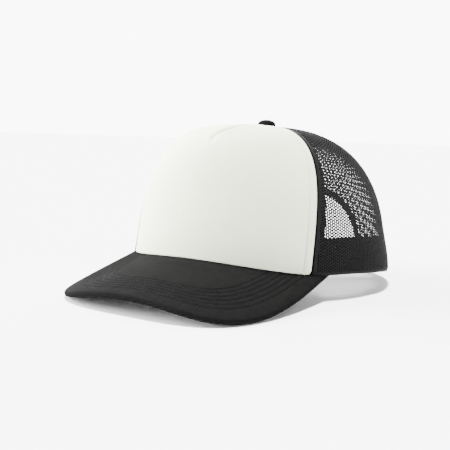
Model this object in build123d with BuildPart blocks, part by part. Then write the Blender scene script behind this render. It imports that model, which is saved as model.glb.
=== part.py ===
"""Five-panel trucker cap with a padded front, mesh sides, curved visor and snap closure.

The cap rests on the two low sides of its visor and on the back of its rim. X points to the wearer's
left, -Y to the front and +Z up, with the origin under the middle of the cap's bounding box.
"""

import os
from math import atan2, cos, degrees, hypot, pi, radians, sin

from build123d import *

os.makedirs("parts", exist_ok=True)

# ---------------------------------------------------------------- driving dimensions, mm and degrees

crown_centre_y = 33.05  # from the frame's origin to the middle of the crown's rim
rim_half_length = 90.7
rim_half_width = 95.6
crown_height = 112.3
crown_lean = 17.5  # how far the walls lean back on their way to the roof
top_return = 10.4  # how far the roof's centre comes forward again
top_return_power = 8
wall_power = {"front": 0.486, "side": 0.748, "rear": 1.199}  # smaller is a steeper wall
roof_power = {"front": 0.253, "side": 0.816, "rear": 0.588}  # smaller is a flatter roof
draw_in = {"front": -0.059, "side": 0.079, "rear": -0.010}  # narrowing towards the roof

front_rim_height = 26.25
visor_curl = 0.00290  # fall of the visor per square millimetre from its middle line
visor_curl_growth = 1.65e-6  # added curl per millimetre in front of the crown
visor_slope = 0.256
visor_half_width = 77.9
visor_length = 70.0
visor_corner_y = -36.6
visor_squareness = 4.0
side_rim_angle = 67.6  # where the rim stops following the visor
rest_rim_angle = 144.0  # behind this the rim lies on the surface under the cap
rim_fall_power = 1.25

front_seam = 48.5  # angles are measured at the crown's centre, from the front
rear_seam = 117.0
top_climb = 0.965  # the panels stop here, under the button

face_thickness = 0.5
foam_thickness = 2.2
mesh_thickness = 0.9
tape_thickness = 0.5
ply_gap = 0.1
seam_gap = 0.3
front_hem = 0.8  # the front panel's bottom edge clears the visor by this
hem_ease_start = 60.0  # from this angle the hem comes down to the rim line
hem_ease_span = 20.0
visor_ply = 0.6
visor_tuck = 1.2  # the visor reaches this far under the crown
board_thickness = 1.8
board_inset = 1.2  # the covers are sewn together outside the board

seam_top_climb = 0.93  # seam tapes and topstitching end here
front_tape_before = 3.0  # the front seam tapes reach this far over the front panel
front_tape_after = 5.4
tape_half_width = 3.5
topstitch_inset = 5.5
dart_low_climb = 0.66
dart_high_climb = 0.88
dart_tape_half_width = 4.0
label_half_width = 22.0
label_low = 36.0  # heights above the rim
label_high = 60.0

arch_half_width = 54.5  # rear opening, at the middle of its binding
arch_height = 62.0
binding_width = 4.6
binding_proud = 0.7  # it stands out from both sides of the mesh by this
arch_reach = 42.0  # the opening's feet lie within this angle of the centre back

sweatband_low = 1.2
sweatband_height = 28.0
sweatband_thickness = 1.0
sweatband_end = 136.0
sweatband_ease_start = 6.0  # degrees behind the front seam where it nears the mesh
sweatband_ease_span = 14.0

strap_height = 16.0
strap_thickness = 1.4
strap_clearance = 0.8  # above the surface under the cap
strap_tab_start = 137.0
hinge_arc = 50.5  # from the centre back to each strap's bending line, along the rim
hinge_gap = 1.0
outer_strap_tip = 20.0  # beyond the centre back
inner_strap_tip = 24.4
snap_pitch = 8.6
snap_count = 7
snap_end_margin = 5.0
hole_radius = 2.6
peg_radius = 1.6
peg_length = 1.9

button_radius = 6.6
button_height = 4.2
button_shoulder_share = 0.72  # of the radius
button_shoulder_height = 3.2
button_lip = 0.8
button_hollow_height = 2.2
button_gap = 0.15
washer_radius = 6.2
washer_thickness = 0.6
post_radius = 1.6
post_in_button = 0.8
thread_width = 0.7
thread_height = 0.3
visor_row_count = 6
first_row_inset = 9.5
row_pitch = 3.7
row_end_gap = 1.5  # the rows stop this far in front of the crown

# ---------------------------------------------------------------- crown surface

visor_thickness = 2 * visor_ply + board_thickness + 2 * ply_gap
foam_depth = face_thickness + ply_gap
lining_depth = foam_depth + foam_thickness + ply_gap  # inside of the front panel
sweatband_front_depth = lining_depth + tape_thickness + 2 * ply_gap
sweatband_side_depth = mesh_thickness + tape_thickness + 3 * ply_gap
strap_depth = 2.6
inner_strap_depth = strap_depth + strap_thickness + seam_gap
newton_steps = 14


def blended(values, theta):
    """A value that varies round the crown from its front, side and rear settings."""
    front = max(cos(theta), 0.0) ** 2
    rear = max(-cos(theta), 0.0) ** 2
    return values["front"] * front + values["side"] * (1 - front - rear) + values["rear"] * rear


def visor_sheet_height(x, y):
    """Height of the sheet that the visor and the front rim follow, from the crown's centre."""
    ahead = -y - rim_half_length
    return front_rim_height - (visor_curl + visor_curl_growth * ahead) * x**2 - visor_slope * ahead


def rim_point(theta):
    return rim_half_width * sin(theta), -rim_half_length * cos(theta)


def rim_height(theta):
    side = radians(side_rim_angle)
    rest = radians(rest_rim_angle)
    angle = abs((theta + pi) % (2 * pi) - pi)
    if angle < side:
        return visor_sheet_height(*rim_point(angle))
    share = max(rest - angle, 0.0) / (rest - side)
    return visor_sheet_height(*rim_point(side)) * sin(share * pi / 2) ** rim_fall_power


def crown_surface(theta, climb):
    """Outside of the crown: climb runs from 0 at the rim to 1 at the top."""
    wall = 2 / blended(wall_power, theta)
    roof = 2 / blended(roof_power, theta)
    across, up = cos(climb * pi / 2), sin(climb * pi / 2)
    reach = 1 / max(across, up)
    for _ in range(newton_steps):
        wall_term = (reach * across) ** wall
        roof_term = (reach * up) ** roof
        reach -= (wall_term + roof_term - 1) * reach / (wall * wall_term + roof * roof_term)
    rise = reach * up
    spread = reach * across * (1 - blended(draw_in, theta) * rise)
    x, y = rim_point(theta)
    lean = crown_lean * rise - top_return * rise**top_return_power
    base = rim_height(theta)
    return Vector(x * spread, crown_centre_y + y * spread + lean,
                  base + (crown_height - base) * rise)


def climb_at(theta, height):
    """The climb that stands a given height above the rim."""
    rise = height / (crown_height - rim_height(theta))
    roof = 2 / blended(roof_power, theta)
    wall = 2 / blended(wall_power, theta)
    return atan2(rise, (1 - rise**roof) ** (1 / wall)) * 2 / pi


def crown_normal(theta, climb):
    step = 0.002
    low, high = max(climb - step, 0.0), climb + step
    along = crown_surface(theta + step, climb) - crown_surface(theta - step, climb)
    upward = crown_surface(theta, high) - crown_surface(theta, low)
    return along.cross(upward).normalized()


def crown_point(theta, climb, depth):
    return crown_surface(theta, climb) - crown_normal(theta, climb) * depth


def plate_between(outer_grid, inner_grid):
    """The solid between two point grids, closed by ruled faces round their edges."""
    outer = Face.make_surface_from_array_of_points(outer_grid)
    inner = Face.make_surface_from_array_of_points(inner_grid)
    sides = []
    for edge in outer.edges():
        facing = inner.edges().sort_by_distance(edge.center())[0]
        sides.append(Face.make_surface_from_curves(edge, facing))
    return Solid(Shell([outer, inner, *sides]))


def crown_plate(start, end, low, high, depth, thickness, columns=24, rows=16):
    """A plate that follows the crown, from an outside depth inward by its thickness.

    It lies between two angles in degrees and two climbs. low, high and depth are functions
    of the angle in radians.
    """
    outer_grid = []
    inner_grid = []
    for column in range(columns + 1):
        theta = radians(start + (end - start) * column / columns)
        bottom, top = low(theta), high(theta)
        climbs = [bottom + (top - bottom) * row / rows for row in range(rows + 1)]
        outside = depth(theta)
        outer_grid.append([crown_point(theta, climb, outside) for climb in climbs])
        inner_grid.append([crown_point(theta, climb, outside + thickness) for climb in climbs])
    return plate_between(outer_grid, inner_grid)


def tape_plate(seam, before, after, low, high, depth, thickness, rows=20):
    """A strip of constant width along a seam, reaching before and after it in millimetres."""
    theta = radians(seam)
    top = crown_surface(theta, 1.0)
    outer_grid = []
    inner_grid = []
    for share in (0, 1 / 3, 2 / 3, 1):
        offset = -before + (before + after) * share
        angles_climbs = []
        for row in range(rows + 1):
            climb = low + (high - low) * row / rows
            point = crown_surface(theta, climb)
            radius = hypot(point.X - top.X, point.Y - top.Y)
            angles_climbs.append((theta + offset / radius, climb))
        outer_grid.append([crown_point(angle, climb, depth) for angle, climb in angles_climbs])
        inner_grid.append([crown_point(angle, climb, depth + thickness)
                           for angle, climb in angles_climbs])
    return plate_between(outer_grid, inner_grid)


def level(value):
    return lambda theta: value


def above_rim(height):
    return lambda theta: climb_at(theta, height)


def eased(angle, start, span):
    """Goes smoothly from 0 to 1 over a span of angle."""
    share = min(max((angle - start) / span, 0.0), 1.0)
    return share * share * (3 - 2 * share)


def hem(theta):
    """Bottom edge of the panels: clear of the visor in front, on the rim line behind it."""
    ease = eased(abs(degrees(theta)), hem_ease_start, hem_ease_span)
    return climb_at(theta, front_hem * (1 - ease))


def seam_angle(millimetres):
    return degrees(millimetres / rim_half_width)


# ---------------------------------------------------------------- front panel

panel_edge = front_seam - seam_angle(seam_gap) / 2
front_columns, front_rows = 40, 28
mesh_columns, mesh_rows = 28, 28


def front_panel_ply(depth, thickness):
    return crown_plate(-panel_edge, panel_edge, hem, level(top_climb), level(depth), thickness,
                       front_columns, front_rows)


with BuildPart() as front_panel_face:
    add(front_panel_ply(0, face_thickness))

with BuildPart() as front_panel_foam:
    add(front_panel_ply(foam_depth, foam_thickness))

with BuildPart() as front_dart_tape:
    add(tape_plate(0, dart_tape_half_width, dart_tape_half_width, dart_low_climb, dart_high_climb,
                   lining_depth, tape_thickness))

with BuildPart() as inner_label:
    label_half_angle = seam_angle(label_half_width)
    add(crown_plate(-label_half_angle, label_half_angle, above_rim(label_low), above_rim(label_high),
                    level(lining_depth), tape_thickness, 12, 8))

# ---------------------------------------------------------------- mesh panels and seam tapes

arch_cut_half_width = arch_half_width + binding_width / 2 + seam_gap
arch_cut_height = arch_height + binding_width / 2 + seam_gap
cut_reach = 140.0


def side_mesh(side):
    """Mesh panel between the front panel and the rear seam."""
    start = side * (front_seam + seam_angle(seam_gap) / 2)
    end = side * (rear_seam - seam_angle(seam_gap) / 2)
    with BuildPart() as panel:
        add(crown_plate(start, end, hem, level(top_climb), level(0), mesh_thickness,
                        mesh_columns, mesh_rows))
    return panel


def rear_mesh(side):
    """Mesh panel from the rear seam to the centre back, cut away over the rear opening."""
    start = side * (rear_seam + seam_angle(seam_gap) / 2)
    end = side * (180 - seam_angle(seam_gap) / 2)
    with BuildPart() as panel:
        add(crown_plate(start, end, hem, level(top_climb), level(0), mesh_thickness,
                        mesh_columns, mesh_rows))
        with BuildSketch(Plane.XZ):
            Ellipse(arch_cut_half_width, arch_cut_height)
        extrude(amount=-cut_reach, mode=Mode.SUBTRACT)
    return panel


def seam_tape(seam, before, after, low_height, depth):
    """Tape over the inside of a seam, from a height above the rim to just below the button."""
    low = climb_at(radians(seam), low_height)
    with BuildPart() as tape:
        add(tape_plate(seam, before, after, low, seam_top_climb, depth, tape_thickness))
    return tape


side_mesh_left = side_mesh(1)
side_mesh_right = side_mesh(-1)
rear_mesh_left = rear_mesh(1)
rear_mesh_right = rear_mesh(-1)

mesh_tape_depth = mesh_thickness + ply_gap
front_tape_low, side_tape_low = 1.5, 1.0
back_tape_low = arch_cut_height + 1.0
front_seam_tape_left = seam_tape(front_seam, front_tape_before, front_tape_after,
                                 front_tape_low, lining_depth)
front_seam_tape_right = seam_tape(-front_seam, front_tape_after, front_tape_before,
                                  front_tape_low, lining_depth)
side_seam_tape_left = seam_tape(rear_seam, tape_half_width, tape_half_width,
                                side_tape_low, mesh_tape_depth)
side_seam_tape_right = seam_tape(-rear_seam, tape_half_width, tape_half_width,
                                 side_tape_low, mesh_tape_depth)
back_seam_tape = seam_tape(180.0, tape_half_width, tape_half_width, back_tape_low, mesh_tape_depth)

with BuildPart() as front_topstitching:
    for side in (1, -1):
        seam_line = side * (front_seam - seam_angle(topstitch_inset))
        low = climb_at(radians(seam_line), 2.0)
        add(tape_plate(seam_line, thread_width / 2, thread_width / 2, low, seam_top_climb,
                       -ply_gap - thread_height, thread_height))

# ---------------------------------------------------------------- rear opening and sweatband

binding_thickness = mesh_thickness + 2 * binding_proud

with BuildPart() as rear_arch_binding:
    add(crown_plate(180 - arch_reach, 180 + arch_reach, above_rim(0.1),
                    above_rim(arch_cut_height + 3), level(-binding_proud), binding_thickness, 40, 24))
    with BuildSketch(Plane.XZ):
        Ellipse(arch_half_width + binding_width / 2, arch_height + binding_width / 2)
        Ellipse(arch_half_width - binding_width / 2, arch_height - binding_width / 2,
                mode=Mode.SUBTRACT)
    extrude(amount=-cut_reach, mode=Mode.INTERSECT)


def sweatband_depth(theta):
    """Deeper behind the padded front panel than behind the mesh."""
    ease = eased(abs(degrees(theta)) - front_seam, sweatband_ease_start, sweatband_ease_span)
    return sweatband_front_depth + (sweatband_side_depth - sweatband_front_depth) * ease


with BuildPart() as sweatband:
    add(crown_plate(-sweatband_end, sweatband_end, above_rim(sweatband_low),
                    above_rim(sweatband_height), sweatband_depth, sweatband_thickness, 68, 8))

# ---------------------------------------------------------------- visor


def visor_top_height(x, y):
    """Top of the visor: it starts at the rim line and the visor's own thickness comes in ahead."""
    ahead = (hypot(x, y) - rim_half_length) / visor_length
    return visor_sheet_height(x, y) + visor_thickness * ahead


def visor_point(x, y, depth):
    step = 0.5
    slope_x = (visor_top_height(x + step, y) - visor_top_height(x - step, y)) / (2 * step)
    slope_y = (visor_top_height(x, y + step) - visor_top_height(x, y - step)) / (2 * step)
    normal = Vector(-slope_x, -slope_y, 1).normalized()
    return Vector(x, crown_centre_y + y, visor_top_height(x, y)) - normal * depth


def visor_grid(depth):
    """Points parallel to the top of the visor, wider than its outline."""
    margin, columns, rows = 6.0, 24, 20
    reach = visor_half_width + margin
    front = -rim_half_length - visor_length - margin
    back = -20.0
    grid = []
    for column in range(columns + 1):
        x = -reach + 2 * reach * column / columns
        grid.append([visor_point(x, front + (back - front) * row / rows, depth)
                     for row in range(rows + 1)])
    return grid


def visor_edge_point(psi, inset):
    power = 2 / visor_squareness
    reach = rim_half_length + visor_length + visor_corner_y - inset
    x = (visor_half_width - inset) * abs(sin(psi)) ** power * (1 if psi >= 0 else -1)
    return x, crown_centre_y + visor_corner_y - reach * abs(cos(psi)) ** power


def visor_outline(inset):
    """Plan of the visor's outer edge, closed straight across inside the crown."""
    steps = 36
    points = [visor_edge_point(-pi / 2 + pi * step / steps, inset) for step in range(steps + 1)]
    with BuildSketch() as plan:
        with BuildLine():
            edge = Spline(*points, tangents=((0, -1), (0, 1)))
            Line(edge @ 1, edge @ 0)
        make_face()
    return plan.sketch


def visor_layer(depth, thickness, inset):
    """One ply of the visor, trimmed to its outline and tucked a little under the crown."""
    with BuildPart() as layer:
        add(plate_between(visor_grid(depth), visor_grid(depth + thickness)))
        with BuildSketch():
            add(visor_outline(inset))
            with Locations((0, crown_centre_y)):
                Ellipse(rim_half_width - visor_tuck, rim_half_length - visor_tuck,
                        mode=Mode.SUBTRACT)
            with Locations((0, crown_centre_y - visor_corner_y)):
                Rectangle(3 * visor_half_width, -4 * visor_corner_y, mode=Mode.SUBTRACT)
        extrude(amount=cut_reach, both=True, mode=Mode.INTERSECT)
    return layer


visor_top_cover = visor_layer(0, visor_ply, 0)
visor_board = visor_layer(visor_ply + ply_gap, board_thickness, board_inset)
visor_under_cover = visor_layer(visor_thickness - visor_ply, visor_ply, 0)

with BuildPart() as visor_stitching:
    add(plate_between(visor_grid(-ply_gap - thread_height), visor_grid(-ply_gap)))
    with BuildSketch():
        for row in range(visor_row_count):
            inset = first_row_inset + row_pitch * row
            add(visor_outline(inset))
            add(visor_outline(inset + thread_width), mode=Mode.SUBTRACT)
        with Locations((0, crown_centre_y)):
            Ellipse(rim_half_width + row_end_gap, rim_half_length + row_end_gap, mode=Mode.SUBTRACT)
    extrude(amount=cut_reach, both=True, mode=Mode.INTERSECT)

# ---------------------------------------------------------------- snap straps

rear_radius = rim_half_length


def strap_angle(arc):
    """Angle in degrees of a point an arc length from the centre back, positive to the left."""
    return 180 - degrees(arc / rear_radius)


def strap_band(start_arc, end_arc, depth):
    """A strip of strap along the back of the rim."""
    low = above_rim(strap_clearance)
    high = above_rim(strap_clearance + strap_height)
    return crown_plate(strap_angle(start_arc), strap_angle(end_arc), low, high, level(depth),
                       strap_thickness, 24, 8)


def snap_plane(arc, depth):
    theta = radians(strap_angle(arc))
    climb = climb_at(theta, strap_clearance + strap_height / 2)
    return Plane(crown_point(theta, climb, depth), z_dir=crown_normal(theta, climb))


tab_arc = radians(180 - strap_tab_start) * rear_radius
snap_arcs = [-outer_strap_tip + snap_end_margin + snap_pitch * snap for snap in range(snap_count)]
peg_arcs = [inner_strap_tip - snap_end_margin - snap_pitch * snap for snap in range(snap_count)]

with BuildPart() as outer_strap:
    add(strap_band(-outer_strap_tip, hinge_arc, strap_depth))
    for arc in snap_arcs:
        with BuildSketch(snap_plane(arc, strap_depth + strap_thickness / 2)):
            Circle(hole_radius)
        extrude(amount=2 * strap_thickness, both=True, mode=Mode.SUBTRACT)

with BuildPart() as inner_strap:
    add(strap_band(-hinge_arc, inner_strap_tip, inner_strap_depth))
    for arc in peg_arcs:
        with BuildSketch(snap_plane(arc, inner_strap_depth + strap_thickness / 2)):
            Circle(peg_radius)
        extrude(amount=peg_length + strap_thickness / 2)

with BuildPart() as outer_strap_tab:
    add(strap_band(hinge_arc + hinge_gap, tab_arc, strap_depth))

with BuildPart() as inner_strap_tab:
    add(strap_band(-tab_arc, -hinge_arc - hinge_gap, inner_strap_depth))

# ---------------------------------------------------------------- top button

pole_y = crown_centre_y + crown_lean - top_return
button_base = crown_height + button_gap
washer_top = crown_height - lining_depth - ply_gap

with BuildPart() as button_shell:
    with BuildSketch(Plane.XZ.offset(-pole_y)):
        with BuildLine():
            shoulder = (button_radius * button_shoulder_share, button_base + button_shoulder_height)
            dome = Spline((0, button_base + button_height), shoulder, (button_radius, button_base),
                          tangents=((1, 0), (0, -1)))
            Polyline(dome @ 1, (button_radius - button_lip, button_base),
                     (0, button_base + button_hollow_height), dome @ 0)
        make_face()
    revolve(axis=Axis((0, pole_y, 0), (0, 0, 1)))

with BuildPart() as button_rivet:
    with BuildSketch(Plane.XY.offset(washer_top - washer_thickness)):
        with Locations((0, pole_y)):
            Circle(washer_radius)
    extrude(amount=washer_thickness)
    with BuildSketch(Plane.XY.offset(washer_top)):
        with Locations((0, pole_y)):
            Circle(post_radius)
    extrude(amount=button_base + post_in_button - washer_top)

# ---------------------------------------------------------------- names and files

pieces = {
    "front_panel_face": front_panel_face,
    "front_panel_foam": front_panel_foam,
    "front_dart_tape": front_dart_tape,
    "front_topstitching": front_topstitching,
    "inner_label": inner_label,
    "side_mesh_left": side_mesh_left,
    "side_mesh_right": side_mesh_right,
    "rear_mesh_left": rear_mesh_left,
    "rear_mesh_right": rear_mesh_right,
    "front_seam_tape_left": front_seam_tape_left,
    "front_seam_tape_right": front_seam_tape_right,
    "side_seam_tape_left": side_seam_tape_left,
    "side_seam_tape_right": side_seam_tape_right,
    "back_seam_tape": back_seam_tape,
    "rear_arch_binding": rear_arch_binding,
    "sweatband": sweatband,
    "visor_top_cover": visor_top_cover,
    "visor_board": visor_board,
    "visor_under_cover": visor_under_cover,
    "visor_stitching": visor_stitching,
    "outer_strap": outer_strap,
    "inner_strap": inner_strap,
    "outer_strap_tab": outer_strap_tab,
    "inner_strap_tab": inner_strap_tab,
    "button_shell": button_shell,
    "button_rivet": button_rivet,
}

for name, piece in pieces.items():
    piece.part.label = name
    export_step(piece.part, f"parts/{name}.step")
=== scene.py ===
"""Looks of the trucker cap: fabric panels, knitted mesh, stitched visor, straps and studio.

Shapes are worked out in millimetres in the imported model's frame, and become metres when a piece
is made. The crown is a surface of two coordinates: theta, the angle round it from the front, and
climb, from 0 at the rim to 1 at the top. Depth is measured inward from that surface.
"""

from math import cos, degrees, pi, radians, sin, tau

import bmesh
import bpy
import numpy as np
from mathutils import Matrix, Vector


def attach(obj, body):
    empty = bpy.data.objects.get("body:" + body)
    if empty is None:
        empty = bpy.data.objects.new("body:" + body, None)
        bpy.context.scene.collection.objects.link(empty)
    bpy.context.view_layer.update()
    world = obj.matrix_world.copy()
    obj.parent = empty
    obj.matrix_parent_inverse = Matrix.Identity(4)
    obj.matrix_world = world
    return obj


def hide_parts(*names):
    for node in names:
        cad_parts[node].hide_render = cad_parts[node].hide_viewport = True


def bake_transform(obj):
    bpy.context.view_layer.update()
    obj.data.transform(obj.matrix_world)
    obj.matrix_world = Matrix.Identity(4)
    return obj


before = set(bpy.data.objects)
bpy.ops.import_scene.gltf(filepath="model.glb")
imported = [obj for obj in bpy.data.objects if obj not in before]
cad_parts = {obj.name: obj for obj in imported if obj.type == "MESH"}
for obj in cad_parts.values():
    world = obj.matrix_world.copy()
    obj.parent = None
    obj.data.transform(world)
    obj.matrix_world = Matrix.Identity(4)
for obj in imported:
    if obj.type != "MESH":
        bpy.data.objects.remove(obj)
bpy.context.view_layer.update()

MM = 0.001

# ---------------------------------------------------------------- sizes, mm and degrees
# These are the CAD model's sizes, except where a comment says otherwise.

crown_centre_y = 33.05
rim_half_length = 90.7
rim_half_width = 95.6
crown_height = 112.3
crown_lean = 17.5
top_return = 10.4
top_return_power = 8
wall_power = {"front": 0.486, "side": 0.748, "rear": 1.199}
roof_power = {"front": 0.253, "side": 0.816, "rear": 0.588}
draw_in = {"front": -0.059, "side": 0.079, "rear": -0.010}
rest_rim_angle = 144.0
pole_y = crown_centre_y + crown_lean - top_return

# The visor lies flatter than the CAD model's, and the rim in front is up to 3.2 mm lower.
front_rim_height = 23.10
visor_curl = 0.00263
visor_curl_growth = 4.60e-6
visor_slope = 0.203
side_rim_angle = 62.0
rim_fall_power = 1.249

visor_half_width = 77.9
visor_length = 70.0
visor_corner_y = -36.6
visor_squareness = 4.0
visor_thickness = 3.2
visor_tuck = 2.3  # 1.1 mm more than in the CAD model

# The CAD model's rim has neither of these.
rim_curl, rim_curl_height = 2.4, 3.4
rim_flare, rim_flare_height = 3.0, 34.0
rim_turn_start, rim_turn_rise = 66.0, 26.0
rim_turn_end, rim_turn_fall = 134.0, 16.0

front_seam = 48.5
rear_seam = 117.0
# From a seam to the cloth on each side of it. The mesh's is 0.2 mm more than in the CAD model.
front_seam_gap, mesh_seam_gap = 0.15, 0.35
top_climb = 0.965
seam_top_climb = 0.93
front_hem = 0.5  # 0.3 mm less than in the CAD model
hem_ease_start, hem_ease_span = 60.0, 20.0

foam_outside, lining_depth = 0.65, 2.9
tape_thickness = 0.5
mesh_tape_depth = 1.0
front_tape_before, front_tape_after = 3.0, 8.0  # 2.6 mm wider than in the CAD model
tape_half_width = 3.5
dart_tape_half_width, dart_low_climb, dart_high_climb = 4.0, 0.66, 0.88

# Unlike the CAD model's, the arch is 1 mm lower, 0.3 mm less to each side and less pointed, its
# binding is 0.4 mm wider, and the sweatband's top edge is 3.4 mm lower.
arch_half_width, arch_height, arch_power, binding_width = 54.2, 61.0, 2.2, 5.0
sweatband_height, sweatband_end = 24.6, 136.0

label_half_width, label_low, label_high = 22.0, 36.0, 60.0
row_count, first_row_inset, row_pitch = 6, 9.5, 3.7

strap_height, strap_thickness, strap_clearance = 16.0, 1.4, 0.8
strap_tip_radius = 6.5
outer_strap_depth, inner_strap_depth = 2.6, 4.3
outer_strap_tip, inner_strap_tip = 20.0, 24.4
hinge_arc, tab_arc = 50.5, 68.0
snap_pitch, snap_count, snap_end_margin = 8.6, 7, 5.0
hole_radius, peg_radius, peg_length = 2.6, 1.6, 1.9

# radius 0.3 mm and height 0.7 mm more than in the CAD model
button_radius, button_height, button_gap = 6.9, 4.9, 0.15

# ---------------------------------------------------------------- crown and visor surfaces


def blended(values, theta):
    front = np.maximum(np.cos(theta), 0.0) ** 2
    rear = np.maximum(-np.cos(theta), 0.0) ** 2
    return values["front"] * front + values["side"] * (1 - front - rear) + values["rear"] * rear


def smooth(value):
    share = np.clip(value, 0.0, 1.0)
    return share * share * (3 - 2 * share)


def unit(vectors):
    return vectors / np.maximum(np.linalg.norm(vectors, axis=-1, keepdims=True), 1e-9)


def signed_power(value, power):
    return np.sign(value) * np.abs(value) ** power


def round_turn(count):
    """Angles evenly spaced once round, without the last one."""
    return np.arange(count) * tau / count


def visor_sheet_height(x, y):
    ahead = -y - rim_half_length
    return front_rim_height - (visor_curl + visor_curl_growth * ahead) * x**2 - visor_slope * ahead


def rim_height(theta):
    side, rest = radians(side_rim_angle), radians(rest_rim_angle)
    angle = np.abs((theta + pi) % tau - pi)
    held = np.minimum(angle, side)
    on_visor = visor_sheet_height(rim_half_width * np.sin(held), -rim_half_length * np.cos(held))
    share = np.clip((rest - angle) / (rest - side), 0.0, 1.0)
    return np.where(angle < side, on_visor, on_visor * np.sin(share * pi / 2) ** rim_fall_power)


def crown_surface(theta, climb):
    theta, climb = np.broadcast_arrays(np.asarray(theta, float), np.asarray(climb, float))
    wall, roof = 2 / blended(wall_power, theta), 2 / blended(roof_power, theta)
    across = np.maximum(np.cos(climb * pi / 2), 0.0)
    up = np.maximum(np.sin(climb * pi / 2), 0.0)
    reach = 1 / np.maximum(across, up)
    for _ in range(14):
        wall_term, roof_term = (reach * across) ** wall, (reach * up) ** roof
        reach = reach - (wall_term + roof_term - 1) * reach / (wall * wall_term + roof * roof_term)
    rise = reach * up
    spread = reach * across * (1 - blended(draw_in, theta) * rise)
    lean = crown_lean * rise - top_return * rise**top_return_power
    base = rim_height(theta)
    return np.stack([rim_half_width * np.sin(theta) * spread,
                     crown_centre_y - rim_half_length * np.cos(theta) * spread + lean,
                     base + (crown_height - base) * rise], -1)


def climb_at(theta, height):
    """The climb that stands a given height above the rim."""
    theta = np.asarray(theta, float)
    rise = np.clip(height / (crown_height - rim_height(theta)), 0.0, 1.0)
    wall, roof = 2 / blended(wall_power, theta), 2 / blended(roof_power, theta)
    return np.arctan2(rise, (1 - rise**roof) ** (1 / wall)) * 2 / pi


def crown_slopes(theta, climb):
    """Derivatives of the surface by theta and by climb."""
    step = 0.002
    along = crown_surface(theta + step, climb) - crown_surface(theta - step, climb)
    low, high = np.maximum(climb - step, 0.0), np.minimum(climb + step, 1.0)
    upward = crown_surface(theta, high) - crown_surface(theta, low)
    return along / (2 * step), upward / (high - low)[..., None]


def crown_normal(theta, climb):
    along, upward = crown_slopes(theta, climb)
    return unit(np.cross(along, upward))


def rim_turn(theta, height):
    """Depth added low on the mesh, from visor to straps: it flares out, and its edge curls in."""
    angle = np.abs(np.degrees((theta + pi) % tau - pi))
    shown = smooth((angle - rim_turn_start) / rim_turn_rise)
    shown = shown * smooth((rim_turn_end - angle) / rim_turn_fall)
    left = np.clip(1 - height / rim_curl_height, 0.0, 1.0)
    flare = rim_flare * smooth(1 - height / rim_flare_height)
    return shown * (rim_curl * (1 - np.sqrt(1 - left**2)) - flare)


def crown_point(theta, climb, depth):
    surface = crown_surface(theta, climb)
    depth = np.asarray(depth, float) + rim_turn(theta, surface[..., 2] - rim_height(theta))
    return surface - crown_normal(theta, climb) * depth[..., None]


def millimetres_per_radian(theta, climb):
    return np.linalg.norm(crown_slopes(theta, climb)[0], axis=-1)


def hem(theta):
    """Climb of the panels' bottom edge: clear of the visor in front, on the rim behind it."""
    ease = smooth((np.abs(np.degrees(theta)) - hem_ease_start) / hem_ease_span)
    return climb_at(theta, front_hem * (1 - ease))


def visor_top_height(x, y):
    ahead = (np.hypot(x, y) - rim_half_length) / visor_length
    return visor_sheet_height(x, y) + visor_thickness * ahead


def visor_surface(x, y):
    """Points on the visor's top and their normals, from coordinates measured at the crown's centre."""
    step = 0.5
    slope_x = (visor_top_height(x + step, y) - visor_top_height(x - step, y)) / (2 * step)
    slope_y = (visor_top_height(x, y + step) - visor_top_height(x, y - step)) / (2 * step)
    normal = unit(np.stack([-slope_x, -slope_y, np.ones_like(x)], -1))
    return np.stack([x, crown_centre_y + y, visor_top_height(x, y)], -1), normal


def visor_outline(psi, inset):
    """Plan coordinates, from the crown's centre, of a line parallel to the visor's edge."""
    power = 2 / visor_squareness
    reach = rim_half_length + visor_length + visor_corner_y - inset
    x = (visor_half_width - inset) * signed_power(np.sin(psi), power)
    return x, visor_corner_y - reach * np.abs(np.cos(psi)) ** power


# ---------------------------------------------------------------- mesh helpers


class Shape:
    """Points in millimetres, faces and fabric coordinates, gathered into one piece."""

    def __init__(self):
        self.points, self.fabric, self.faces = [], [], []
        self.count = 0

    def add(self, points, faces, fabric):
        points = np.asarray(points, float).reshape(-1, 3)
        self.points.append(points)
        self.fabric.append(np.asarray(fabric, float).reshape(-1, 2))
        self.faces.extend([tuple(int(i) + self.count for i in face) for face in faces])
        self.count += len(points)

    def piece(self, name, material, slot, replaces=(), body="cap"):
        mesh = bpy.data.meshes.new(name)
        mesh.from_pydata((np.concatenate(self.points) * MM).tolist(), [], self.faces)
        fabric = mesh.uv_layers.new(name="fabric")
        corners = np.zeros(len(mesh.loops), np.int32)
        mesh.loops.foreach_get("vertex_index", corners)
        fabric.data.foreach_set("uv", np.concatenate(self.fabric)[corners].astype(np.float32).ravel())
        work = bmesh.new()
        work.from_mesh(mesh)
        bmesh.ops.recalc_face_normals(work, faces=work.faces)
        for face in work.faces:
            face.smooth = True
        work.to_mesh(mesh)
        work.free()
        mesh.materials.append(material)
        made = bpy.data.objects.new(name, mesh)
        bpy.context.scene.collection.objects.link(made)
        if replaces:
            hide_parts(*replaces)
        if body:
            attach(made, body)
        return made


def grid_faces(rows, columns, offset=0, closed=False):
    """Quads of a grid whose points are stored row by row."""
    wide = columns if closed else columns - 1
    row, column = np.meshgrid(np.arange(rows - 1), np.arange(wide), indexing="ij")
    following = (column + 1) % columns
    corners = [row * columns + column, row * columns + following,
               (row + 1) * columns + following, (row + 1) * columns + column]
    return (np.stack(corners, -1).reshape(-1, 4) + offset).tolist()


def border(rows, columns):
    """Point numbers round the edge of such a grid."""
    bottom = list(range(columns))
    right = [row * columns + columns - 1 for row in range(1, rows)]
    top = [(rows - 1) * columns + column for column in range(columns - 2, -1, -1)]
    left = [row * columns for row in range(rows - 2, 0, -1)]
    return bottom + right + top + left


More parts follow.
